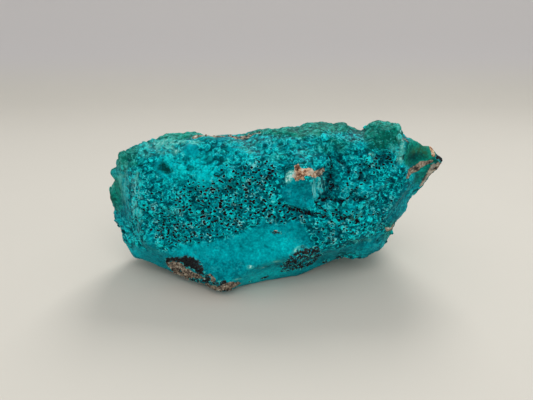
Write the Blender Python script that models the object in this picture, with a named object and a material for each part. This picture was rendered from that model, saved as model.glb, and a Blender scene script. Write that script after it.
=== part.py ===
"""Chrysocolla specimen: one natural block of copper ore with a lumpy blue-green crust.

The block is a set of broken facets with rounded edges. Its surface is then pushed out into knobs,
ledges and grape-like lobes, and sunk into notches and valleys. It lies on a small flat break in its
underside. Metres, +Z up, with the origin on the resting plane under the middle of the block. The
shaping below is measured from the foot of the block's heart, HEART_FROM_ORIGIN away from it.
"""

import math

import bmesh
import bpy
import numpy as np
from mathutils import Vector, noise

MM = 0.001

NODE_NAME = "chrysocolla_specimen"
MATERIAL_COLOUR = (0.004, 0.22, 0.25, 1.0)
MATERIAL_ROUGHNESS = 0.6

# The starting box is drawn out of a spine along X, so that its grid stays even on a long block.
SPINE_HALF_LENGTH = 25 * MM
SPINE_CENTRE = np.array([-1.0, 1.0, 20.0]) * MM
SPINE_SHARE = 0.58  # the part of the grid's length that lies beside the spine
GRID_CELLS = (48, 21, 21)
FARTHEST_REACH = 80 * MM
SEARCH_STEPS = 30

# Facets are measured from the heart of the block. Azimuth 0 faces the front (-Y) and 90 the right
# (+X). Each row is azimuth and elevation in degrees, and the distance of the face in millimetres.
HEART = np.array([0.0, 0.0, 18.0]) * MM
EDGE_ROUNDING = 0.45 * MM
FACETS = {
    "front_left": (-12, 20, 15.0),
    "front_middle": (0, 21, 13.6),
    "front_right": (14, 14, 15.6),
    "front_brow": (-8, 52, 17.2),
    "low_left": (-26, -26, 24.7),
    "low_right": (20, -38, 17.2),
    "right_flank": (42, -16, 24.0),
    "right_undercut": (88, -36, 29.0),
    "right_underside": (80, -70, 19.4),
    "tip_slope": (84, 66, 31.8),
    "tip_end": (66, 2, 46.5),
    "left_flank": (-50, 2, 32.8),
    "left_end": (-96, -4, 46.0),
    "left_foot": (-84, -22, 42.0),
    "left_brow": (-88, 15, 43.4),
    "left_shoulder": (-78, 68, 29.0),
    "top": (-90, 86, 20.4),
    "top_right": (60, 82, 22.8),
    "top_back": (-168, 54, 21.0),
    "back_brow": (152, 40, 24.2),
    "back": (172, 14, 19.6),
    "back_low": (-166, -12, 21.4),
    "back_left": (-138, 2, 31.5),
    "back_right": (128, -6, 36.4),
    "back_foot": (-172, -38, 20.8),
    "left_underside": (-90, -76, 22.4),
    "base": (0, -90, 18.6),
}

# Knobs and ledges rise from the facets and notches and valleys sink into them. Each row is the
# middle (X, Y, Z), the radius and the rise, all in millimetres; a sunken form has a negative rise.
SWELLINGS = {
    "top_right_knob": ((29.0, 1.0, 38.0), 7.5, 3.4),
    "top_right_knob_end": ((30.0, -2.0, 37.0), 4.5, 1.0),
    "knob_hollow": ((27.0, -5.5, 34.0), 4.5, -1.4),
    "notch_by_knob": ((20.5, 3.0, 39.0), 3.5, -0.9),
    "top_ledge": ((12.0, 2.0, 39.0), 8.0, 0.5),
    "top_ledge_left": ((2.0, 2.0, 38.8), 5.0, 0.5),
    "top_notch": ((-7.0, 1.0, 38.5), 6.5, -2.0),
    "middle_knob": ((7.5, -9.0, 32.5), 6.0, 2.6),
    "middle_knob_peak": ((6.5, -10.0, 32.0), 3.5, 1.3),
    "middle_knob_foot": ((6.0, -10.5, 28.0), 6.5, 1.4),
    "valley_top": ((15.5, -6.0, 35.0), 4.5, -1.9),
    "valley_middle": ((14.5, -9.0, 30.0), 4.5, -2.2),
    "valley_foot": ((14.0, -11.0, 25.0), 4.0, -1.8),
    "cluster_top": ((18.5, -8.5, 29.5), 4.0, 1.3),
    "cluster_right": ((23.5, -8.0, 26.0), 4.0, 1.6),
    "cluster_middle": ((18.5, -10.5, 22.5), 4.0, 1.4),
    "cluster_low": ((21.5, -11.0, 16.0), 4.5, 1.2),
    "ridge_right": ((31.5, -5.0, 31.0), 5.0, 1.6),
    "tip_recess": ((36.5, -5.5, 32.5), 5.0, -1.8),
    "tip_underside": ((37.0, -3.0, 27.0), 5.0, -1.0),
    "tip_point": ((43.5, 0.0, 31.5), 6.0, 1.8),
    "low_right_corner": ((25.0, -6.0, 6.0), 8.0, 2.0),
    "low_right_undercut": ((14.0, -8.0, 4.0), 7.0, -1.2),
    "right_bay": ((34.0, -3.0, 21.0), 5.0, -0.8),
    "left_lobe_top": ((-39.5, -2.5, 32.5), 4.0, 0.6),
    "left_lobe_middle": ((-43.0, -2.5, 27.5), 4.0, 0.9),
    "left_lobe_low": ((-44.5, -1.0, 21.0), 5.0, 1.5),
    "left_ridge_top": ((-34.5, -4.0, 30.5), 5.0, 0.8),
    "left_ridge_middle": ((-34.5, -7.5, 22.5), 5.5, 0.9),
    "left_ridge_foot": ((-33.5, -11.0, 14.5), 5.0, 0.8),
    "left_brow_dome": ((-22.5, -3.0, 35.5), 4.0, 0.9),
    "lobed_bank": ((-27.0, -8.0, 26.0), 8.0, 0.9),
    "apron_left": ((-22.0, -14.0, 12.5), 7.0, -0.9),
    "apron_middle": ((-6.0, -15.5, 13.0), 8.0, -0.9),
    "apron_right": ((6.0, -14.5, 17.0), 6.0, -1.0),
    "keel": ((-14.0, -15.0, 3.0), 6.0, 1.2),
    "low_matrix": ((6.0, -14.0, 10.0), 4.5, 0.9),
    "back_hump": ((-14.0, 19.0, 22.0), 13.0, 2.4),
    "back_hollow": ((12.0, 20.0, 24.0), 11.0, -2.2),
    "back_ledge": ((22.0, 17.0, 12.0), 9.0, 1.8),
    "back_notch": ((-30.0, 15.0, 30.0), 8.0, -1.8),
}

# Broad unevenness of the broken stone, the creases of its bare back, and the lobes of the crust.
UNEVEN_SPAN = 15 * MM
UNEVEN_RISE = 1.1 * MM
CREASE_SPAN = 11 * MM
CREASE_DEPTH = 2.6 * MM
MEAN_CREASE = 0.2  # the usual size of the noise, so that creasing keeps the block's volume
LOBE_SPAN = 5.8 * MM
LOBE_RISE = 1.3 * MM

# The smooth apron low on the front carries no lobes. Its upper rim runs through these points (X, Z).
APRON_RIM = ((-33.0, 12.5), (-18.0, 14.0), (-9.0, 17.0), (-4.0, 20.0), (2.0, 18.5), (11.0, 21.0))
APRON_END = 16 * MM
APRON_FADE = 2.5 * MM
APRON_FACING = 0.25  # how squarely the surface must face the front to belong to the apron

# The flat break that the specimen rests on, and where the middle of its outer box falls.
REST_HEIGHT = 0.0
FLAT_FACING = 0.85  # how squarely the underside must look down for its unevenness to fade away
HEART_FROM_ORIGIN = (0.5 * MM, -2.6 * MM, 0.0)


def facet_planes():
    """The outward normals of the facets and their distances from the heart, in metres."""
    azimuth, elevation, distance = np.array(list(FACETS.values()), float).T
    azimuth = np.radians(azimuth)
    elevation = np.radians(elevation)
    normals = np.stack(
        [np.sin(azimuth) * np.cos(elevation), -np.cos(azimuth) * np.cos(elevation), np.sin(elevation)],
        axis=1,
    )
    return normals, distance * MM


def faceted_block(points):
    """How far points lie outside the faceted block, and the outward direction at each of them."""
    normals, distances = facet_planes()
    heights = ((points - HEART) @ normals.T - distances) / EDGE_ROUNDING
    highest = heights.max(axis=1, keepdims=True)
    shares = np.exp(heights - highest)
    total = shares.sum(axis=1, keepdims=True)
    depth = (highest + np.log(total))[:, 0] * EDGE_ROUNDING
    outward = (shares / total) @ normals
    return depth, outward / np.linalg.norm(outward, axis=1, keepdims=True)


def gridded_box():
    """A cube from -1 to 1 whose sides are split into even cells."""
    mesh = bmesh.new()
    bmesh.ops.create_cube(mesh, size=2)
    for axis, cells in enumerate(GRID_CELLS):
        along = [e for e in mesh.edges if abs(e.verts[0].co[axis] - e.verts[1].co[axis]) > 1]
        bmesh.ops.subdivide_edges(mesh, edges=along, cuts=cells - 1, use_grid_fill=True)
    return mesh


def rays_of(box_points):
    """For each point of the starting box, its foot on the spine and its direction away from it."""
    along = box_points[:, 0] / SPINE_SHARE
    beyond = (np.abs(box_points[:, 0]) - SPINE_SHARE) / (1 - SPINE_SHARE)
    feet = np.tile(SPINE_CENTRE, (len(box_points), 1))
    feet[:, 0] += np.clip(along, -1, 1) * SPINE_HALF_LENGTH
    fan = np.tan(np.clip(beyond, 0, 1) * math.pi / 4) * np.sign(box_points[:, 0])
    across = np.tan(box_points[:, 1:] * math.pi / 4)
    directions = np.column_stack([fan, across])
    return feet, directions / np.linalg.norm(directions, axis=1, keepdims=True)


def faceted_surface(box_points):
    """The points of the faceted block that the rays of the starting box meet."""
    feet, directions = rays_of(box_points)
    near = np.zeros(len(feet))
    far = np.full(len(feet), FARTHEST_REACH)
    for _ in range(SEARCH_STEPS):
        middle = (near + far) / 2
        depth, _ = faceted_block(feet + directions * middle[:, None])
        far = np.where(depth > 0, middle, far)
        near = np.where(depth > 0, near, middle)
    return feet + directions * near[:, None]


def swelling_rise(points):
    """The summed rise of the knobs, ledges, notches and valleys at each point."""
    rise = np.zeros(len(points))
    for middle, radius, height in SWELLINGS.values():
        gaps = np.linalg.norm(points - np.array(middle) * MM, axis=1) / (radius * MM)
        rise += height * MM * np.clip(1 - gaps**2, 0, 1) ** 1.5
    return rise


def apron_share(points, outward):
    """1 on the smooth apron low on the front, 0 on the lobed crust, with a short fade between."""
    rim_x, rim_z = np.array(APRON_RIM).T * MM
    below_rim = (np.interp(points[:, 0], rim_x, rim_z) - points[:, 2]) / APRON_FADE
    before_end = (APRON_END - points[:, 0]) / APRON_FADE
    facing_front = (-outward[:, 1] - APRON_FACING) / APRON_FACING
    inside = np.minimum(np.minimum(below_rim, before_end), facing_front)
    return np.clip(inside, 0, 1)


def lobe_rise(points):
    """Rounded caps that meet in creases, like grapes pressed together."""
    gaps = np.array([noise.voronoi(Vector(p / LOBE_SPAN))[0][0] for p in points])
    return LOBE_RISE * (0.5 - np.clip(gaps, 0, 1) ** 2)


def uneven_rise(points, outward):
    """Broad, low waves all round, and sharp creases on the back, where no crust grew."""
    waves = np.array([noise.noise(Vector(p / UNEVEN_SPAN)) for p in points])
    creases = np.abs([noise.noise(Vector(p / CREASE_SPAN)) for p in points]) - MEAN_CREASE
    bare = np.clip(outward[:, 1], 0, 1)
    return UNEVEN_RISE * waves + CREASE_DEPTH * creases * bare


def shape_specimen():
    """The whole block as one closed mesh."""
    mesh = gridded_box()
    points = faceted_surface(np.array([v.co for v in mesh.verts]))
    _, outward = faceted_block(points)
    lobes = lobe_rise(points) * (1 - apron_share(points, outward))
    rise = swelling_rise(points) + uneven_rise(points, outward) + lobes
    rise *= 1 - np.clip((-outward[:, 2] - FLAT_FACING) / (1 - FLAT_FACING), 0, 1)
    for vertex, point in zip(mesh.verts, points + outward * rise[:, None]):
        vertex.co = point
    cut_base(mesh)
    bmesh.ops.translate(mesh, verts=mesh.verts, vec=HEART_FROM_ORIGIN)
    bmesh.ops.recalc_face_normals(mesh, faces=mesh.faces)
    data = bpy.data.meshes.new(NODE_NAME)
    mesh.to_mesh(data)
    mesh.free()
    return data


def cut_base(mesh):
    """Cuts the underside off flat at the resting height and closes it with one face."""
    geometry = mesh.verts[:] + mesh.edges[:] + mesh.faces[:]
    cut = bmesh.ops.bisect_plane(
        mesh,
        geom=geometry,
        plane_co=(0, 0, REST_HEIGHT),
        plane_no=(0, 0, -1),
        clear_outer=True,
    )
    rim = [item for item in cut["geom_cut"] if isinstance(item, bmesh.types.BMEdge)]
    bmesh.ops.contextual_create(mesh, geom=rim)


def specimen_material():
    """A plain stand-in for the blue-green crust."""
    material = bpy.data.materials.new("chrysocolla_crust")
    material.use_nodes = True
    surface = material.node_tree.nodes["Principled BSDF"]
    surface.inputs["Base Color"].default_value = MATERIAL_COLOUR
    surface.inputs["Roughness"].default_value = MATERIAL_ROUGHNESS
    surface.inputs["Metallic"].default_value = 0.0
    return material


def build():
    """Makes the specimen the only object of the scene."""
    for old in list(bpy.data.objects):
        bpy.data.objects.remove(old)
    collection = bpy.data.collections.new("Chrysocolla specimen")
    bpy.context.scene.collection.children.link(collection)
    specimen = bpy.data.objects.new(NODE_NAME, shape_specimen())
    specimen.data.materials.append(specimen_material())
    collection.objects.link(specimen)


build()
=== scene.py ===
"""Dressed chrysocolla specimen on a pale studio floor.

The block's own form is refined into a lumpy crust, which carries the marks of each region: smooth
apron, pitted crust, malachite green, worn pale ridges, and tan and dark matrix. Globules grow on the
crust and grains on the matrix, and all of them read the same marks. The crust's shader paints shade
into hollows, cracks, the borders between scales and grains, and the feet and cups of globules, and
paints highlights and glints on bright rims. Sizes and places are in millimetres unless a comment says
otherwise.
"""

import logging
import math
from dataclasses import dataclass
from enum import Enum
from typing import Union

import bmesh
import bpy
import numpy as np
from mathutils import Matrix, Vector, noise


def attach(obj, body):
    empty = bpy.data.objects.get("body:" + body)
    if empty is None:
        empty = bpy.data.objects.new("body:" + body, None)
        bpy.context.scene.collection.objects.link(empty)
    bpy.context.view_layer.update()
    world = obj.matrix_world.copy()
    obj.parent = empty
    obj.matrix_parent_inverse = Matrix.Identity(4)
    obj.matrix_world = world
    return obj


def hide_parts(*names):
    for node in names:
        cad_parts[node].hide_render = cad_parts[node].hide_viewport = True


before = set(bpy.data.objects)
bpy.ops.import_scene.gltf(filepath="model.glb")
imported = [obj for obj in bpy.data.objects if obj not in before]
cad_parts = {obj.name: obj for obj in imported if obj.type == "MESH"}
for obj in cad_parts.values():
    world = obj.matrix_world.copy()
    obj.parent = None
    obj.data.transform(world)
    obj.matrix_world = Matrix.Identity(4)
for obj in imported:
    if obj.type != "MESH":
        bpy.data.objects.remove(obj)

MM = 0.001
BODY = "root"
LOG = logging.getLogger("specimen")
FLANK = 0.35  # the dome measure of ground that is no globule: above its foot and below its lip

Colour = tuple[float, float, float, float]
Triple = tuple[float, float, float]
Term = Union["Wire", float]
Tint = Union["Wire", Colour]


def paint(red: int, green: int, blue: int) -> Colour:
    """Turns a display colour into the linear colour that a shader takes.

    Args:
        red: Red from 0 to 255.
        green: Green from 0 to 255.
        blue: Blue from 0 to 255.

    Returns:
        The linear colour with full alpha.
    """
    parts = [c / 255 for c in (red, green, blue)]
    linear = [c / 12.92 if c <= 0.04045 else ((c + 0.055) / 1.055) ** 2.4 for c in parts]
    return (linear[0], linear[1], linear[2], 1.0)


def place_object(name: str, data: bpy.types.ID) -> bpy.types.Object:
    """Puts a mesh, lamp or camera in the scene.

    Args:
        name: The object's name.
        data: What it shows.

    Returns:
        The object.
    """
    placed = bpy.data.objects.new(name, data)
    bpy.context.scene.collection.objects.link(placed)
    return placed


def settle(holder: bpy.types.Object, name: str) -> bpy.types.Object:
    """Turns an object's modified shape into a plain mesh, and removes the object.

    Args:
        holder: The object with its modifiers.
        name: The name of the plain object and its mesh.

    Returns:
        The plain object.
    """
    scene_state = bpy.context.evaluated_depsgraph_get()
    mesh = bpy.data.meshes.new_from_object(holder.evaluated_get(scene_state))
    holder.modifiers.clear()
    bpy.data.objects.remove(holder)
    mesh.name = name
    return place_object(name, mesh)


def survey(mesh: bpy.types.Mesh) -> tuple[np.ndarray, np.ndarray]:
    """Reads the form of a mesh.

    Args:
        mesh: The mesh.

    Returns:
        Its points, and the outward direction at each point, one a row.
    """
    places = np.empty((len(mesh.vertices), 3))
    outward = np.empty_like(places)
    mesh.vertices.foreach_get("co", places.ravel())
    mesh.vertices.foreach_get("normal", outward.ravel())
    return places / MM, outward


def store(mesh: bpy.types.Mesh, name: str, values: np.ndarray) -> None:
    """Writes a number for every point of a mesh."""
    layer = mesh.attributes.new(name, "FLOAT", "POINT")
    layer.data.foreach_set("value", values.astype(np.float32))


class Mark(Enum):
    """The marks that a region of the surface can carry, by attribute name."""

    SMOOTH = "mark_smooth"
    PITTED = "mark_pitted"
    LOBED = "mark_lobed"
    BRIGHT = "mark_bright"
    DULL = "mark_dull"
    GREEN = "mark_green"
    DEEP_GREEN = "mark_deep_green"
    PALE = "mark_pale"
    FIBRES = "mark_fibres"
    TAN = "mark_tan"
    DARK = "mark_dark"
    WARM = "mark_warm"
    CRACK = "mark_crack"
    SWOLLEN = "mark_swollen"
    SUNKEN = "mark_sunken"


class Relief(Enum):
    """Measures of the relief, by attribute name."""

    DOME = "relief_dome"
    TONE = "relief_tone"
    # HOLLOW is read by the crust's shader to paint shade into hollows.
    HOLLOW = "relief_hollow"


@dataclass(frozen=True)
class Patch:
    """An ellipsoid of space that marks the surface inside it."""

    middle: Triple
    half: Triple
    strength: float = 1.0
    edge: float = 0.4

    def cover(self, points: np.ndarray) -> np.ndarray:
        """Measures how strongly the patch marks each point, fading to 0 at its rim."""
        gap = np.linalg.norm((points - self.middle) / self.half, axis=1)
        return self.strength * np.clip((1 - gap) / self.edge, 0, 1)


@dataclass(frozen=True)
class Seam:
    """A line through space that marks the surface near it."""

    path: tuple[Triple, ...]
    half: float
    strength: float = 1.0
    edge: float = 0.5

    def cover(self, points: np.ndarray) -> np.ndarray:
        """Measures how strongly the seam marks each point.

        Args:
            points: The points, one a row.

        Returns:
            The strength at each point, fading to 0 at the seam's half width.
        """
        gap = np.full(len(points), np.inf)
        path = np.array(self.path, dtype=float)
        for start, end in zip(path, path[1:]):
            along = (points - start) @ (end - start) / ((end - start) @ (end - start))
            nearest = start + np.clip(along, 0, 1)[:, None] * (end - start)
            gap = np.minimum(gap, np.linalg.norm(points - nearest, axis=1))
        return self.strength * np.clip((1 - gap / self.half) / self.edge, 0, 1)


# Each row of PATCHES gives a patch's middle, half sizes, strength and edge, and each row of SEAMS a
# seam's path, half width, strength and edge. A value left out is the class's own.
PATCHES: dict[Mark, tuple[tuple, ...]] = {
    # The flat face under the middle knob, the smooth parts of both ends, and bare spots.
    Mark.SMOOTH: (
        ((6.6, -14.6, 27.6), (5.2, 4, 3.8), 1, 0.15),
        ((-17.8, -11, 29.9), (3.6, 3.5, 2.8), 0.6, 0.6),
        ((-27.8, -8.3, 31.7), (3.2, 3, 2.2), 1, 0.3),
        ((-21.3, -6.8, 35.8), (2.4, 3, 1.7), 1, 0.3),
        ((-40.5, -4.5, 21), (5.5, 6, 10.5), 0.75),
        ((33, -7, 20), (6, 6, 9), 0.8),
        ((26, -9.5, 10.5), (6.5, 5, 4.5), 0.85),
        ((-32, -12.5, 10.5), (3, 4, 5), 0.9),
        ((38.8, -4.6, 28.5), (4.5, 4.5, 5.5), 1, 0.3),
        ((37, -4.2, 34), (6.5, 6, 5), 1, 0.3),
        ((22, -12.5, 10.3), (9, 6, 2.4), 0.9),
        ((-27, 13, 26), (8, 8, 5), 0.9),
        ((-14, 0, 38), (4.5, 6, 2), 1, 0.3),
    ),
    # Crust thick with holes.
    Mark.PITTED: (
        ((16.5, -13, 18), (9.5, 8, 8), 0.75, 0.5),
        ((19.5, -11, 28.5), (7.5, 7, 6.5), 0.3, 0.5),
        ((27.5, -8, 33.3), (5, 4, 3.2), 1, 0.5),
        ((27.5, -11, 20), (5, 6, 8), 0.5, 0.5),
        ((-31, -10.5, 23), (4, 4, 4), 0.6, 0.5),
        ((-28, 14, 12), (9, 8, 7), 0.8, 0.6),
        ((20, 12, 27), (9, 8, 6), 0.8, 0.6),
    ),
    # Soft, full lobes with few holes.
    Mark.LOBED: (
        ((-20, -9.5, 31), (13, 6, 6), 1, 0.5),
        ((13, -7, 37.5), (13, 6, 3.5), 0.7, 0.6),
        ((-8, 14, 30), (14, 8, 6), 0.9, 0.5),
        ((17.6, -12.4, 27.6), (3.6, 4, 3.4)),
        ((23.2, -12.2, 26.6), (2.6, 4, 2.8)),
        ((19.6, -15, 22.6), (3, 4, 2.8)),
        ((13, -14.4, 23.6), (2.6, 4, 2.6)),
        ((16.6, -10, 31.6), (2.6, 4, 2.4)),
        ((-40, -3, 25), (6, 8, 12), 0.9, 0.6),
    ),
    # The clean lobes high on the left, partly painted light where they face up; painted light on the lit
    # upper slope; and the apron, whose lowest strip is painted lighter where it faces down and gets less
    # light.
    Mark.BRIGHT: (
        ((-19, -9, 31.5), (14, 6, 6.5), 1.25, 0.6),
        ((-2, -8, 35.5), (17, 6, 4.5), 0.7, 0.6),
        ((-20, -16, 12.5), (12, 5, 3), 0.8, 0.6),
        ((-1, -18, 14), (13, 5, 6), 0.8, 0.6),
        ((-2, -15, 3.5), (16, 8, 5), 1, 0.6),
        ((18.5, -14.5, 23.5), (3, 4, 3), 0.7, 0.6),
        ((18, -12, 28.5), (3, 4, 3), 0.7, 0.6),
        ((23, -12, 27.5), (3, 4, 3), 0.7, 0.6),
        ((-38.5, -7, 10), (5, 5, 7), 0.6, 0.6),
    ),
    # Duller crust to the right, on the flat face and at the left end.
    Mark.DULL: (
        ((30, -8.5, 21), (6.5, 6, 9.5), 1, 0.6),
        ((18, -14, 13), (9, 6, 4.5), 0.8, 0.6),
        ((9, -15, 15.5), (6, 5, 4), 0.7, 0.6),
        ((6.6, -14.6, 27.6), (5.6, 4, 4.2), 0.15, 0.3),
        ((-41, -4.5, 19), (4, 6, 6), 0.5, 0.6),
    ),
    # Malachite green on the rims, the right knob, the tip and the back.
    Mark.GREEN: (
        ((28, -4, 40), (7.5, 9, 5), 1, 0.5),
        ((37, -4.2, 34.5), (6.5, 7, 5), 1.2),
        ((30.5, -7, 14), (4.5, 5, 5), 0.6, 0.6),
        ((-38, -3, 33.5), (5.5, 8, 5), 0.9, 0.6),
        ((-42, -2, 24), (5, 8, 9.5), 0.8, 0.6),
        ((-25, 1.5, 37.8), (15, 5.5, 3.2), 0.9, 0.5),
        ((8, 1, 40), (18, 9, 4.5), 1, 0.5),
        ((14, -7, 37), (11, 5, 3.5), 0.5, 0.7),
        ((23, 1, 38.5), (4.5, 8, 4), 0.9, 0.6),
        ((-5, 5, 38.5), (8, 6, 3), 0.9, 0.6),
        ((-4, 16, 30), (40, 12, 14), 0.5, 0.8),
        ((38.5, -4.6, 28.5), (4.5, 4.5, 4.5), 0.6, 0.5),
    ),
    # The darkest green, in hollows and on the tip.
    Mark.DEEP_GREEN: (
        ((26, -7.5, 37.2), (4.5, 4, 2.2), 0.9, 0.6),
        ((-38.5, -3, 33.5), (3, 4, 2.5), 0.7, 0.6),
        ((-43, -3, 20.8), (2.5, 4, 1.8), 1.1, 0.6),
        ((36.5, -5, 34), (3.6, 4, 2.4), 1, 0.6),
        ((41.4, -4.6, 31.8), (2.2, 3, 2.8), 1.4, 0.6),
        ((-27.6, -8.4, 31.5), (2.8, 3, 1.3), 2, 0.9),
        ((28, -5, 39), (5, 6, 3.2), 0.65, 0.6),
        ((5.5, 2, 39.5), (3, 6, 2.5), 0.9, 0.6),
        ((13, 2, 40.8), (2.6, 6, 2.2), 0.9, 0.6),
        ((19.5, 0, 40.2), (2.6, 6, 2.2), 0.9, 0.6),
    ),
    # Worn ridges and bleached spots.
    Mark.PALE: (
        ((-29.5, -4.5, 35.4), (8.5, 4.5, 2.4), 0.45, 0.6),
        ((-43.4, -2, 23.6), (2, 3, 1.8), 0.5, 0.6),
        ((-25.3, -5.5, 35.1), (1.2, 2, 0.8), 0.7, 0.8),
        ((-38.5, -5, 27), (4, 4.5, 8), 0.35, 0.6),
        ((24.6, -8.6, 34.9), (1.8, 2.5, 0.9), 0.8, 0.8),
        ((30, -8.1, 36.3), (1.8, 2.5, 1.4), 0.4, 0.8),
        ((-6, -7.3, 36), (2.4, 2.5, 1.2), 0.45, 0.8),
        ((6.6, -9.7, 36.5), (1.6, 2, 0.9), 0.5, 0.8),
        ((-26, -13, 21.5), (4, 4, 1.6), 0.4, 0.8),
        ((-3.4, -18, 7.9), (1.8, 2.5, 1), 0.6, 0.9),
        ((0.8, -17.8, 9.7), (1.8, 2.5, 1), 0.6, 0.9),
        ((28, -10.5, 16.5), (2.5, 3, 1), 0.2, 0.8),
        ((9, -14.4, 32.6), (1.6, 2, 1), 0.9, 0.6),
        ((-5.8, -19.3, 9.1), (1.5, 2, 0.8), 0.9, 0.8),
        ((-9.4, -19.8, 5.6), (1.8, 2, 0.7), 0.6, 0.8),
    ),
    # Fibrous crust beside the flat face and down the left edge.
    Mark.FIBRES: (
        ((11, -13.4, 28.8), (3.2, 4, 3.4), 1, 0.5),
        ((-35.2, -9, 22.5), (2, 4, 10.5), 1.2, 0.8),
        ((-38.5, -5.5, 26), (4, 5, 9), 0.4, 0.6),
    ),
    # The cap of the middle knob, and bare matrix on the back and the underside.
    Mark.TAN: (
        ((5.8, -14.3, 32.9), (2.2, 3, 1.9), 1, 0.5),
        ((15, 14, 11), (10, 8, 6)),
        ((3, 16, 15), (9, 8, 7)),
        ((-7, 16, 9), (7, 8, 3.5), 0.9),
        ((0, 2, -1), (34, 16, 4), 0.9, 0.5),
    ),
    # Where matrix is sandy and not grey, and the darkest green is olive.
    Mark.WARM: (
        ((5.2, -14, 32.5), (6.4, 6, 5)),
        ((37.5, -4, 36), (6.5, 7, 3.4)),
        ((6, 16, 14), (26, 9, 10), 0.4, 0.7),
    ),
    # Black specks under the apron, and a black patch on the back.
    Mark.DARK: (
        ((-2.7, -13.6, 2.6), (1.4, 2, 1), 0.9, 0.5),
        ((-6.1, -14.7, 1.9), (1.2, 2, 0.9), 0.8, 0.5),
        ((-20, 17, 14), (12, 8, 6), 0.8, 0.7),
    ),
    # Single dark dents.
    Mark.CRACK: (
        ((32.6, -7.6, 34.2), (0.9, 1.5, 0.7), 1.2, 0.5),
        ((35.8, -5.2, 33.6), (1, 1.5, 0.8), 0.9, 0.8),
        ((-36.8, -8.4, 25), (1.6, 2.5, 1.4), 0.7, 0.8),
        ((-38.5, -6.6, 13.4), (1.6, 2.5, 1.4), 0.75, 0.8),
        ((32.5, -7.5, 23.5), (3.5, 4, 3), 0.75, 0.8),
        ((27.4, -9.5, 11.5), (1.2, 2, 1.2), 1, 0.8),
        ((-38.5, -6.5, 8.5), (1.8, 3, 1.8), 0.8, 0.8),
    ),
    # Single hollows.
    Mark.SUNKEN: (
        ((-27.8, -8.4, 31.4), (2.6, 4, 1.7), 1.4, 0.9),
        ((26, -7.5, 37.2), (3.4, 4, 1.8), 0.6, 0.9),
        ((34.2, -2.5, 39.5), (2.6, 6, 2.8), 2.4, 1),
        ((-39.5, 0.5, 33.8), (4.5, 6, 3.2), 2, 1),
        ((33.5, -5, 14.5), (3, 4, 3.5), 1.3, 1),
        ((27.3, -7.7, 6.5), (2.5, 4, 2), 1, 1),
    ),
    # Single domes, and the knobs along the outline.
    Mark.SWOLLEN: (
        ((-17.8, -11, 29.9), (5, 4.5, 3.8), 1.1, 1),
        ((-21.3, -6.8, 35.8), (2.4, 4, 1.8), 0.9, 1),
        ((18.9, -12.3, 29.1), (3.4, 4.5, 4), 0.9, 1),
        ((23.2, -12.4, 26.6), (2.4, 4.5, 2.4), 0.9, 1),
        ((13, -14.2, 23.2), (2.4, 4.5, 2.4), 0.9, 1),
        ((19.3, -14.4, 23), (2.4, 4.5, 2.2), 0.7, 1),
        ((19.8, -8.6, 34.8), (2, 4.5, 1.8), 0.8, 1),
        ((-39, -5.2, 33.6), (1.6, 3, 1.5), 1.7, 0.8),
        ((-34.2, -3, 36), (1.7, 3.5, 1.5), 1.3, 0.8),
        ((-31, -2, 36.7), (1.3, 3, 1.3), 1, 0.8),
        ((-41.9, -3.3, 28), (1.6, 3.5, 1.7), 1.5, 0.8),
        ((-43.8, -2, 22.8), (2.2, 4, 3.2), 1.2, 1),
        ((-42.3, -3, 14.5), (2.2, 3.5, 1.7), 0.9, 1),
        ((-40.4, -4.6, 9.4), (2, 3.5, 1.6), 1, 1),
        ((-38.2, -5.6, 5.4), (2.2, 3.5, 1.7), 0.9, 1),
        ((-28.5, 1.5, 36.8), (3.6, 5, 2), 1.2, 1),
        ((18.2, 1, 39.5), (2.8, 6, 2.2), 1.3, 1),
        ((25.4, -0.5, 40.2), (3, 5, 1.8), 1.5, 1),
        ((43.3, -2.8, 31.8), (1.8, 3, 1.5), 1.6, 1),
    ),
}

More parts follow.
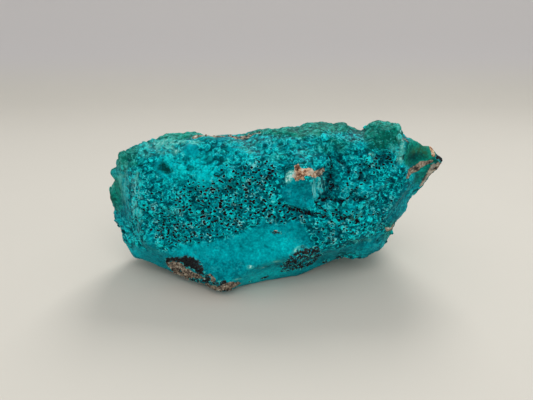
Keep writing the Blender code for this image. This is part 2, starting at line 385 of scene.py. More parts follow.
SEAMS: dict[Mark, tuple[tuple, ...]] = {
    # Bands of holes across the middle.
    Mark.PITTED: (
        (((-22, -11.5, 24), (-11, -11.5, 29), (-2, -11.2, 31)), 4.6, 1, 0.4),
        (((-27.5, -13.5, 17), (-18, -14.5, 19.5), (-6, -15.5, 24), (4, -15.6, 22.5)), 6, 1, 0.4),
    ),
    # The lip under the oval hollow.
    Mark.BRIGHT: (
        (((-30, -8.6, 31), (-27.8, -9, 30.5), (-25.8, -9.2, 31)), 0.8),
    ),
    # Worn ridges, and the bleached strip along the upper left edge.
    Mark.PALE: (
        (((-35.5, -7.5, 30), (-34.5, -9.5, 25), (-34.8, -10.5, 22), (-34, -12.5, 14)), 0.5, 0.4),
        (((-37, -8, 25), (-36, -10, 18), (-34, -13, 13)), 0.5, 0.3),
        (((-30, -2.5, 36.3), (-26.5, -2.5, 37), (-20, -5, 37.2)), 1.7, 0.5),
        (((32, -5, 41), (32, -7.8, 37.5), (31.7, -8.4, 33.7)), 1.5, 0.55),
        (
            ((31.7, -8.4, 33.7), (31.2, -9.6, 31.5), (28.2, -9.4, 27.4),
             (24.6, -12.6, 25.2), (21.6, -14.2, 21.2)),
            0.6, 0.2,
        ),
        (((21.6, -14.2, 21.2), (19, -15, 20)), 1, 0.35),
        (((21, -15, 14), (25, -11.5, 12.5)), 0.8, 0.35),
        (((3.4, -13.4, 30.8), (4.2, -13.8, 32.6)), 1.1, 1.5),
        (((4, -18.6, 11.7), (6, -18, 13.4), (8.5, -17.4, 14.1)), 0.8, 0.6),
        (((41.4, -4.8, 31), (41, -4.2, 29.5), (40.4, -3.5, 27), (39.6, -3.3, 25)), 0.9, 0.45),
    ),
    # Matrix on the cap, the lower left rim, the tip and the top.
    Mark.TAN: (
        (((-11, 17, 19), (-3, 17, 23.5), (4, 16, 25)), 1.6, 1, 0.4),
        (((5.4, -13.6, 34), (5.5, -14.3, 31.6)), 1.5, 1, 0.4),
        (((6.8, -15.2, 33), (9.5, -14.7, 32.6), (11.8, -12.2, 31.8)), 1.3, 1, 0.4),
        (((4.4, -13.9, 31.6), (7, -15.2, 31.6)), 0.9, 1, 0.4),
        (((-0.5, -17.2, 18), (0.9, -17.3, 17.9)), 0.45, 0.9, 0.4),
        (((-27.3, -12.6, 5.7), (-25, -13, 3.6), (-22.6, -13.8, 2.4), (-20.5, -14.2, 1.4)), 2),
        (((29.5, -9, 14.3), (32, -6.5, 13.9)), 0.9, 0.7),
        (((-26.6, -13.9, 7), (-24.5, -15, 6.8), (-22, -15.6, 5), (-20.5, -15.4, 3.5)), 2.3),
        (((-21.5, -16, 4.8), (-18.5, -17.9, 5.2), (-16, -19.6, 6)), 1.5),
        (((-17.5, -18, 3.6), (-13.5, -19.9, 4), (-10.4, -19.6, 4)), 1.4),
        (((-17.6, -15.9, 1.4), (-15, -18.3, 1.8), (-12.3, -19.7, 3.1), (-10, -19.2, 3.4)), 1.8),
        (((34.1, -8.4, 29.4), (35.4, -6.6, 29.7), (37, -5.2, 30.3)), 1.05),
        (((37, -5.2, 30.4), (38.9, -5.1, 31.4), (40.6, -5.2, 32.2)), 0.8),
        (((39.6, -4, 35), (41.5, -4.7, 34.1)), 0.7),
        (((43.4, -3.4, 30.8), (41.8, -3, 27.5), (40, -2.6, 24.5)), 1.8, 1, 0.3),
        (((41.4, -4.6, 30.2), (40.2, -3.6, 27), (39.3, -3.4, 25.2)), 1.2, 1, 0.3),
        (((33.1, -6.6, 39.2), (33.9, -6.8, 37.7)), 0.8, 0.8),
        (((-20, -2, 38), (-12.6, -1.5, 38), (-8, 1.5, 37.5), (-4.8, 2.5, 37.9)), 1.9, 0.9, 0.9),
    ),
    # Black matrix along the lower rims, on the back, the tip and the top.
    Mark.DARK: (
        (((-0.3, -17.2, 17.6), (1.2, -17.3, 17.6)), 0.55, 0.9, 0.4),
        (((-14, 17, 9), (-9.5, 17, 14), (-6, 17, 20)), 1.8),
        (((-28, -13.2, 7.3), (-25.3, -15.3, 8.8), (-22.8, -16.3, 9.5)), 0.9, 1.2),
        (((-22.4, -16.5, 8.8), (-20.4, -17.4, 8.7), (-19.4, -18, 7.9)), 2.1, 1.2),
        (((-21.5, -13.7, 1.5), (-18.3, -17.4, 3.8), (-15.5, -20, 4.8), (-13, -20.6, 5.2)), 1.3, 0.85),
        (((-18.6, -18.3, 6.4), (-16.6, -19.4, 5.9)), 1.1, 0.9),
        (((3, -15.5, 7.4), (5.5, -17.5, 10.6), (8, -17.5, 12.4), (10, -16.5, 11.8)), 2.6, 0.8),
        (((5, -14.5, 6.8), (8, -15.5, 9), (11, -14, 9.6)), 2.7, 0.75),
        (((3.5, -13.2, 4.8), (7, -12.3, 5), (10.5, -11.6, 6)), 2.4, 0.8),
        (((13.6, -7.8, 3.9), (18.5, -8.2, 4.9)), 1, 0.9),
        (((42.7, -4.2, 33.2), (43.8, -3.6, 32.2)), 1.1, 1.5),
        (((-9, 1, 37.6), (-5.5, 2.5, 38)), 0.7, 0.9),
    ),
    # Cracks between the lobes of the right half and on the back, then scratches in the apron.
    Mark.CRACK: (
        (
            ((14.3, -8.6, 35.2), (14.7, -9.7, 33), (14.4, -10.6, 28.1),
             (14.1, -12, 25.5), (10.9, -14.6, 25)),
            0.95,
        ),
        (((16.8, -8.8, 33.6), (18.5, -10.5, 32.2), (18.9, -11.9, 30.3)), 0.85),
        (((15.4, -12.4, 24.2), (18.5, -13.5, 25), (20.5, -12.4, 26.7), (21.8, -10.4, 31)), 0.9),
        (((20.8, -13, 25.3), (22.6, -13.1, 24.8), (23, -12.8, 26.6)), 0.8),
        (((3.2, -15.2, 24.5), (6.7, -15.7, 23), (11.2, -15.8, 22.5), (13.5, -15.9, 21.3)), 0.9),
        (((10.9, -14.6, 25), (11.9, -15, 23.5), (13.2, -15.2, 22.5)), 0.85),
        (((15.5, -15.6, 21.3), (18.5, -15.4, 20.4), (21, -14.8, 19.4)), 0.85),
        (((-16, 16, 31), (-12, 17, 24), (-15, 17, 18)), 0.9),
        (((9, 14, 31), (15, 14, 26), (18, 13, 19)), 0.9),
        (((-10.8, -18.2, 12.5), (-10.1, -19, 11), (-7.3, -19.3, 9.7)), 0.4, 0.5),
        (((-2, -17.8, 14.3), (0.2, -18.4, 13.2)), 0.4, 0.4),
        (((-15.1, -17.6, 13.9), (-13.1, -18.2, 12.8)), 0.4, 0.4),
    ),
    # The dip of the top edge, the steep right end under the tip, and the notch beside it.
    Mark.SUNKEN: (
        (((-15.5, 3.5, 37.4), (-9, 4.5, 37.6), (-6, 5.5, 38)), 6, 2, 1),
        (((-2.8, 5.5, 38), (5.3, 7.2, 38.1)), 5, 1.1, 1),
        (((42.9, -1.8, 27.4), (39.5, -2.3, 23)), 2.2, 0.9, 1),
        (((34.3, -3, 38.6), (35.8, -3.2, 37.2)), 2.2, 1, 1),
    ),
    # The ridge of the tip.
    Mark.SWOLLEN: (
        (((36.6, -3.5, 36.6), (39.5, -3.9, 34.9)), 2.4, 1.6, 1),
        (((33.9, -5.4, 37.2), (34.4, -5.6, 37)), 1.3, 1.3, 1),
    ),
}


class Wire:
    """A node socket that takes part in Python arithmetic."""

    def __init__(self, nodes: "Nodes", socket: bpy.types.NodeSocket) -> None:
        """Keeps the socket and the tree it belongs to."""
        self.nodes = nodes
        self.socket = socket

    def _maths(self, operation: str, *terms: Term) -> "Wire":
        """Adds one Math node with its inputs in order."""
        return self.nodes.add("ShaderNodeMath", {"operation": operation}, dict(enumerate(terms)))

    def __add__(self, other: Term) -> "Wire":
        """Adds."""
        return self._maths("ADD", self, other)

    __radd__ = __add__

    def __sub__(self, other: Term) -> "Wire":
        """Subtracts."""
        return self._maths("SUBTRACT", self, other)

    def __rsub__(self, other: Term) -> "Wire":
        """Subtracts from a number."""
        return self._maths("SUBTRACT", other, self)

    def __mul__(self, other: Term) -> "Wire":
        """Multiplies."""
        return self._maths("MULTIPLY", self, other)

    __rmul__ = __mul__

    def at_most(self, other: Term) -> "Wire":
        """Takes the smaller value."""
        return self._maths("MINIMUM", self, other)

    def at_least(self, other: Term) -> "Wire":
        """Takes the larger value."""
        return self._maths("MAXIMUM", self, other)

    def smooth(self, low: float, high: float) -> "Wire":
        """Steps softly from 0 at low to 1 at high.

        Args:
            low: The value that gives 0.
            high: The value that gives 1; below low, the step falls instead.

        Returns:
            The stepped value.
        """
        if low > high:
            return 1 - self.smooth(high, low)
        settings = {"interpolation_type": "SMOOTHSTEP"}
        return self.nodes.add("ShaderNodeMapRange", settings, {0: self, 1: low, 2: high})


Marks = dict[Mark, Wire]


class Nodes:
    """Writes nodes into a shader or geometry tree."""

    def __init__(self, tree: bpy.types.NodeTree) -> None:
        """Starts from an empty tree."""
        self.tree = tree
        tree.nodes.clear()

    def add(
        self,
        kind: str,
        settings: dict[str, object] | None = None,
        values: dict[int | str, object] | None = None,
        output: int | str = 0,
    ) -> Wire:
        """Adds a node.

        Args:
            kind: The node's type.
            settings: Properties set before its sockets; "stops" gives a ramp's positions and colours.
            values: A number, colour or wire for each input, by index or by name.
            output: The output to return, by index or by name.

        Returns:
            The chosen output.
        """
        node = self.tree.nodes.new(kind)
        for name, setting in (settings or {}).items():
            if name == "stops":
                self._set_stops(node.color_ramp, setting)
            else:
                setattr(node, name, setting)
        for key, value in (values or {}).items():
            self._feed(self._pick(node.inputs, key), value)
        if not node.outputs:
            return Wire(self, node.inputs[0])
        return Wire(self, self._pick(node.outputs, output))

    @staticmethod
    def _pick(sockets: bpy.types.bpy_prop_collection, key: int | str) -> bpy.types.NodeSocket:
        """Finds a socket by index, or the one in use among those of a name."""
        named = (s for s in sockets if s.name == key and s.enabled)
        return sockets[key] if isinstance(key, int) else next(named)

    @staticmethod
    def _set_stops(ramp: bpy.types.ColorRamp, stops: tuple[tuple[float, Colour], ...]) -> None:
        """Gives a ramp its colours.

        Args:
            ramp: A new ramp.
            stops: The position and colour of each stop.
        """
        while len(ramp.elements) < len(stops):
            ramp.elements.new(1.0)
        for element, (position, colour) in zip(ramp.elements, stops):
            element.position = position
            element.color = colour

    def _feed(self, socket: bpy.types.NodeSocket, value: object) -> None:
        """Links a wire to a socket, or sets the socket's own value.

        Args:
            socket: The socket.
            value: A wire, or the value.
        """
        if isinstance(value, Wire):
            self.tree.links.new(value.socket, socket)
        else:
            socket.default_value = value

    def drift(self, size: float, reach: float, place: Wire | None = None) -> Wire:
        """Makes a vector that wanders softly through space.

        Args:
            size: The size of its bends.
            reach: How far it reaches along each axis.
            place: Where it is read, the geometry's own position if left out.

        Returns:
            The vector, in metres.
        """
        values = {"Scale": 1 / (size * MM)} | ({"Vector": place} if place else {})
        bends = self.add("ShaderNodeTexNoise", {}, values, "Color")
        centred = self.add("ShaderNodeVectorMath", {"operation": "SUBTRACT"}, {0: bends, 1: (0.5, 0.5, 0.5)})
        scaled = {"Vector": centred, "Scale": 2 * reach * MM}
        return self.add("ShaderNodeVectorMath", {"operation": "SCALE"}, scaled)


class ShaderNodes(Nodes):
    """Writes a surface shader."""

    def __init__(self, name: str) -> None:
        """Makes the material that holds the shader.

        Args:
            name: The material's name.
        """
        self.material = bpy.data.materials.new(name)
        self.material.use_nodes = True
        super().__init__(self.material.node_tree)
        self.place = self.add("ShaderNodeTexCoord", output="Object")

    def mix(self, share: Term, first: Tint, second: Tint) -> Wire:
        """Mixes two colours, the second showing by its share."""
        values = {"Factor": share, "A": first, "B": second}
        return self.add("ShaderNodeMix", {"data_type": "RGBA"}, values, "Result")

    def ramp(self, tone: Wire, *stops: tuple[float, Colour]) -> Wire:
        """Turns a tone into the colours of a ramp."""
        return self.add("ShaderNodeValToRGB", {"stops": stops}, {0: tone}, "Color")

    def noise(self, size: float, detail: float = 2.0) -> Wire:
        """Reads noise around 0.5 with blots of a size, and so many layers of finer ones."""
        values = {"Vector": self.place, "Scale": 1 / (size * MM), "Detail": detail}
        return self.add("ShaderNodeTexNoise", {}, values)

    def cells(self, size: float, output: str = "Distance", place: Wire | None = None) -> Wire:
        """Reads the distance from the middle of cells of a size, or their random Color."""
        values = {"Vector": place or self.place, "Scale": 1 / (size * MM)}
        return self.add("ShaderNodeTexVoronoi", {"feature": "F1"}, values, output)

    def chances(self, size: float, place: Wire | None = None) -> Wire:
        """Gives every cell of a size a number of its own between 0 and 1."""
        return self.add("ShaderNodeSeparateColor", {}, {0: self.cells(size, "Color", place)})

    def jittered(self, size: float, reach: float) -> Wire:
        """Bends the object's own coordinates, by bends of a size that reach so far."""
        bent = {0: self.place, 1: self.drift(size, reach, self.place)}
        return self.add("ShaderNodeVectorMath", {"operation": "ADD"}, bent)

    def attribute(self, name: str) -> Wire:
        """Reads a number that the mesh carries."""
        return self.add("ShaderNodeAttribute", {"attribute_name": name}, {}, "Fac")

    def surface(self, values: dict[int | str, object]) -> bpy.types.Material:
        """Closes the shader.

        Args:
            values: The surface node's inputs.

        Returns:
            The finished material.
        """
        shader = self.add("ShaderNodeBsdfPrincipled", {}, values, "BSDF")
        self.add("ShaderNodeOutputMaterial", {}, {"Surface": shader})
        return self.material


@dataclass(frozen=True)
class CrustFinish:
    """The whole specimen's skin: blue-green crust, malachite, worn ridges and matrix, with painted shade in
    its hollows and painted highlights on its rims.

    The pairs that the methods give to smooth() are where a step starts and ends, on noise and marks
    that run from 0 to 1. The first number of noise(), cells() and chances() is a size.
    """

    # Dark teal of painted shade, for hollows, cracks, the borders between scales and grains, and the feet and
    # cups of globules.
    painted_shade: Colour = paint(0, 44, 54)
    deep: Colour = paint(0, 102, 114)
    teal: Colour = paint(0, 156, 166)
    cyan: Colour = paint(2, 206, 210)
    # Bright rim colour: partly the rims' own pale edges, partly painted highlight.
    lip_and_highlight: Colour = paint(24, 238, 236)
    # Pale ice colour: bleached chips on worn ridges, and painted glints on rims.
    ice_and_glint: Colour = paint(178, 236, 226)
    frost: Colour = paint(84, 190, 176)
    fibre: Colour = paint(120, 222, 216)
    malachite: Colour = paint(14, 140, 114)
    verdigris: Colour = paint(40, 176, 150)
    bottle: Colour = paint(8, 84, 72)
    olive: Colour = paint(46, 100, 74)
    pit: Colour = paint(24, 8, 14)
    rust: Colour = paint(58, 26, 30)
    sand: Colour = paint(226, 186, 150)
    clay: Colour = paint(176, 132, 104)
    umber: Colour = paint(84, 52, 40)
    ash: Colour = paint(124, 110, 96)
    drab: Colour = paint(166, 148, 128)
    slate: Colour = paint(66, 60, 54)
    chalk: Colour = paint(208, 210, 196)
    soot: Colour = paint(36, 35, 36)
    gloss: Colour = paint(0, 215, 225)
    shine: float = 0.08
    bump_depth: float = 0.25
    bump_strength: float = 0.8
    scale_width: float = 1.2
    arc_width: float = 2.8
    flatten: float = 1.45
    wobble: tuple[float, float] = (0.5, 0.3)
    chink_width: float = 0.7
    grain_width: float = 0.5
    soot_width: float = 0.6
    fibre_size: Triple = (0.5, 0.5, 5.0)

    def material(self) -> bpy.types.Material:
        """Writes the skin's shader.

        Returns:
            The material.
        """
        s = ShaderNodes("crust")
        marks = {mark: s.attribute(mark.value) for mark in Mark}
        flatter = {0: s.jittered(*self.wobble), 1: (1.0, 1.0, self.flatten)}
        place = s.add("ShaderNodeVectorMath", {"operation": "MULTIPLY"}, flatter)
        scales = s.cells(self.scale_width, place=place)
        rough = (1 - 0.85 * marks[Mark.SMOOTH]) * (1 - 0.3 * marks[Mark.LOBED])
        # Bright rims of the scales, partly pale edges and partly painted highlight.
        lips_and_highlights = self._lips_and_highlights(s, scales, s.cells(self.arc_width, place=place))
        lips_and_highlights = lips_and_highlights * rough * (1 - 0.5 * marks[Mark.GREEN])
        # Painted shade in the borders between the scales.
        shaded_gaps = scales.smooth(0.62, 0.8) * rough
        holes = self._holes(s, marks, scales, place)
        colour = self._crust(s, marks, lips_and_highlights, shaded_gaps)
        colour = self._globules(s, marks, colour, rough)
        # Painted shade: the crust darkens in hollows, by how far each point lies below its surroundings.
        hollow = s.attribute(Relief.HOLLOW.value)
        colour = s.mix(hollow.smooth(0.45, 1.0) * 0.65, colour, self.painted_shade)
        colour = s.mix(holes, colour, s.mix(s.noise(1.3).smooth(0.52, 0.75), self.pit, self.rust))
        colour = self._worn(s, marks, colour)
        matrix, tan, dark = self._matrix(s, marks)
        colour = s.mix(tan, colour, matrix)
        colour = s.mix(dark, colour, self._soot(s, marks))
        stone = tan.at_least(dark)
        relief = (0.35 * lips_and_highlights - 0.5 * shaded_gaps - 1.1 * holes) * (1 - stone) + 0.5 * s.noise(0.5, 4.0)
        relief = relief + stone * s.cells(self.soot_width) * 0.8
        bump = {"Height": relief, "Distance": self.bump_depth * MM, "Strength": self.bump_strength}
        return s.surface(
            {
                "Base Color": colour,
                "Roughness": 0.5 + 0.18 * s.noise(1.2) + 0.25 * stone.at_least(holes),
                "Normal": s.add("ShaderNodeBump", {}, bump),
                "Specular IOR Level": self.shine,
                "Specular Tint": self.gloss,
            }
        )

    def _lips_and_highlights(self, s: ShaderNodes, scales: Wire, arcs: Wire) -> Wire:
        """Finds the thin bright rims of the scales, broken into arcs: partly their own pale edges, partly
        painted highlight.

        Args:
            s: The shader.
            scales: The distance from the middle of the scales.
            arcs: The distance from the middle of the larger cells.

        Returns:
            1 on a bright rim.
        """
        small = scales.smooth(0.28, 0.36) * scales.smooth(0.52, 0.42) * s.noise(0.8).smooth(0.43, 0.53)
        large = arcs.smooth(0.36, 0.42) * arcs.smooth(0.53, 0.47) * s.noise(1.6).smooth(0.42, 0.52)
        return small.at_least(large * 0.6)

    def _holes(self, s: ShaderNodes, marks: Marks, scales: Wire, place: Wire) -> Wire:
        """Finds the small holes, which open in the middle of the scales, and the cracks.

        Args:
            s: The shader.
            marks: The marks.
            scales: The distance from the middle of the scales.
            place: Where the scales are read.

        Returns:
            1 in a hole or a crack.
        """
        crowd = marks[Mark.PITTED] * (0.8 + 0.35 * s.noise(3.6).smooth(0.36, 0.62))
        open_scales = (crowd - 0.9 * s.chances(self.scale_width, place)).smooth(-0.05, 0.05)
        pits = (scales - 0.1 * crowd).smooth(0.3, 0.23) * open_scales
        cracks = (0.6 * marks[Mark.CRACK] + 1.6 * s.noise(0.9) - 0.85).smooth(0.48, 0.6)
        return pits.at_least(cracks)

    def _crust(self, s: ShaderNodes, marks: Marks, lips_and_highlights: Wire, shaded_gaps: Wire) -> Wire:
        """Colours the crust, blue-green to malachite green, with painted shade between its scales, grains and
        cracks, and painted highlights and glints on its rims.

        Args:
            s: The shader.
            marks: The marks.
            lips_and_highlights: Where pale rims and painted highlights brighten the crust.
            shaded_gaps: Where painted shade darkens the borders between the scales.

        Returns:
            The colour.
        """
        shade = 0.25 * s.attribute(Relief.TONE.value) + 0.9 * s.noise(0.55, 3.0) + 0.35 * s.noise(5.0, 3.0)
        # BRIGHT lifts the crust, partly as painted light on upward slopes and on the apron's downward strip;
        # DULL darkens it.
        shade = shade + 0.4 * marks[Mark.BRIGHT] - 0.3 * marks[Mark.DULL] - 0.455
        shade = shade + 0.6 * marks[Mark.SMOOTH] * (s.noise(2.2, 4.0) - 0.5)
        colour = s.mix(shade.smooth(0.0, 0.6), self.deep, self.teal)
        colour = s.mix(shade.smooth(0.5, 1.0), colour, self.cyan)
        green = (marks[Mark.GREEN] + 0.9 * s.noise(2.6, 3.0) - 0.45).smooth(0.1, 0.8)
        leaf = s.mix(shade.smooth(0.0, 0.5), self.bottle, self.malachite)
        leaf = s.mix(shade.smooth(0.45, 0.9), leaf, self.verdigris)
        colour = s.mix(green * 0.9, colour, leaf)
        # Painted shade in the fine chinks between grains and in the borders between the scales.
        shaded_chinks = s.cells(self.chink_width).smooth(0.5, 0.7) * (1 - 0.9 * marks[Mark.SMOOTH])
        shadow = s.mix(green, self.painted_shade, self.bottle)
        colour = s.mix(shaded_chinks * 0.4, colour, shadow)
        colour = s.mix(shaded_gaps * 0.8, colour, shadow)
        # Painted shade along the cracks and dents.
        colour = s.mix(marks[Mark.CRACK] * 0.5, colour, self.painted_shade)
        # Bright rims, partly their own pale edges and partly painted highlight, tinted frost on green.
        colour = s.mix(lips_and_highlights * 0.9, colour, s.mix(green * 0.7, self.lip_and_highlight, self.frost))
        # Painted glints: small pale highlights scattered on the bright rims.
        glints = lips_and_highlights * s.noise(2.4).smooth(0.52, 0.66)
        colour = s.mix(glints * (0.15 + 0.45 * marks[Mark.PITTED]), colour, self.ice_and_glint)
        mottled = 0.25 + 0.9 * s.noise(0.6, 3.0).smooth(0.36, 0.6)
        darkest = s.mix(marks[Mark.WARM], self.bottle, self.olive)
        return s.mix((marks[Mark.DEEP_GREEN] * mottled).at_most(1.0), colour, darkest)

    def _globules(self, s: ShaderNodes, marks: Marks, colour: Wire, rough: Wire) -> Wire:
        """Paints shade at each globule's foot and in its hollow, and a bright lip between them that is partly
        a painted highlight.

        Args:
            s: The shader.
            marks: The marks.
            colour: The crust's colour.
            rough: How rough the crust is.

        Returns:
            The shaded colour.
        """
        dome = s.attribute(Relief.DOME.value)
        # Bright lip ring of each globule: partly its pale edge, partly painted highlight.
        lip_and_highlight = dome.smooth(0.42, 0.58) * dome.smooth(0.78, 0.62) * s.noise(0.8).smooth(0.4, 0.55)
        colour = s.mix(lip_and_highlight * rough * 0.55, colour, self.lip_and_highlight)
        # Painted shade at the foot of each globule, where it meets the crust.
        colour = s.mix(dome.smooth(0.22, 0.02) * rough * 0.7, colour, self.painted_shade)
        # Painted shade inside the cups, deeper where the crust is pitted.
        cup_shade = dome.smooth(0.72, 0.95) * (0.4 + 0.5 * marks[Mark.PITTED])
        return s.mix(cup_shade, colour, self.painted_shade)

    def _worn(self, s: ShaderNodes, marks: Marks, colour: Wire) -> Wire:
        """Bleaches ridges, spots and fibres.

        Args:
            s: The shader.
            marks: The marks.
            colour: The crust's colour.

        Returns:
            The worn colour.
        """
        blots = s.noise(1.8, 3.0).smooth(0.35, 0.6)
        colour = s.mix(marks[Mark.PALE].smooth(0.05, 0.6) * (0.1 + 0.7 * blots), colour, self.frost)
        chips = s.noise(0.8, 3.0).smooth(0.4, 0.6)
        colour = s.mix((marks[Mark.PALE] * (0.4 + chips)).smooth(0.5, 1.1), colour, self.ice_and_glint)
        narrow = {"Vector": s.place, "Scale": tuple(1 / (size * MM) for size in self.fibre_size)}
        streaks = s.add("ShaderNodeMapping", {"vector_type": "POINT"}, narrow)
        lines = s.add("ShaderNodeTexNoise", {}, {"Vector": streaks, "Scale": 1.0}).smooth(0.46, 0.62)
        return s.mix(marks[Mark.FIBRES] * lines * 0.7, colour, self.fibre)

    def _matrix(self, s: ShaderNodes, marks: Marks) -> tuple[Wire, Wire, Wire]:
        """Colours the granular matrix.

        Args:
            s: The shader.
            marks: The marks.

        Returns:
            The colour, and where the tan matrix and the black matrix show.
        """
        breakup = 0.5 * s.noise(1.8, 3.0) + 0.6 * s.noise(0.6) - 0.55
        tan = (marks[Mark.TAN] + breakup).smooth(0.42, 0.54)
        dark = (marks[Mark.DARK] + breakup).smooth(0.40, 0.50)
        tone = 0.35 * s.chances(self.grain_width) + 0.65 * s.noise(1.1, 3.0).smooth(0.28, 0.68)
        warm = s.ramp(tone, (0.18, self.umber), (0.45, self.clay), (0.72, self.sand), (0.95, self.chalk))
        greys = ((0.05, self.soot), (0.25, self.slate), (0.48, self.ash), (0.78, self.drab))
        grey = s.ramp(tone, *greys, (1.0, self.chalk))
        colour = s.mix(marks[Mark.WARM].smooth(0.1, 0.5), grey, warm)
        return s.mix(marks[Mark.PALE] * 0.7, colour, self.chalk), tan, dark

    def _soot(self, s: ShaderNodes, marks: Marks) -> Wire:
        """Colours the black matrix, speckled with teal and pale grains where its mark is weak.

        Args:
            s: The shader.
            marks: The marks.

        Returns:
            The colour.
        """
        blots = s.noise(0.8, 3.0).smooth(0.3, 0.7)
        tone = 0.5 * s.chances(self.soot_width) + 0.5 * blots + 0.7 * (1 - marks[Mark.DARK])
        blacks = ((0.5, self.soot), (0.62, self.slate))
        return s.ramp(tone, *blacks, (0.76, self.deep), (0.88, self.teal), (1.0, self.frost))


@dataclass(frozen=True)
class BoardFinish:
    """Matt pale board, a little darker where it turns up into the wall. Heights are in metres."""

    pale: Colour = paint(205, 199, 188)
    shade: Colour = paint(201, 195, 184)
    wall: Colour = paint(204, 198, 195)
    wall_start: float = 0.001
    wall_full: float = 0.018
    cloud_size: float = 60.0
    roughness: float = 0.85

    def material(self) -> bpy.types.Material:
        """Writes the board's shader.

        Returns:
            The material.
        """
        s = ShaderNodes("board")
        floor = s.mix(s.noise(self.cloud_size, 3.0), self.shade, self.pale)
        height = s.add("ShaderNodeSeparateXYZ", {}, {0: s.place}, "Z")
        colour = s.mix(height.smooth(self.wall_start, self.wall_full), floor, self.wall)
        return s.surface({"Base Color": colour, "Roughness": self.roughness})


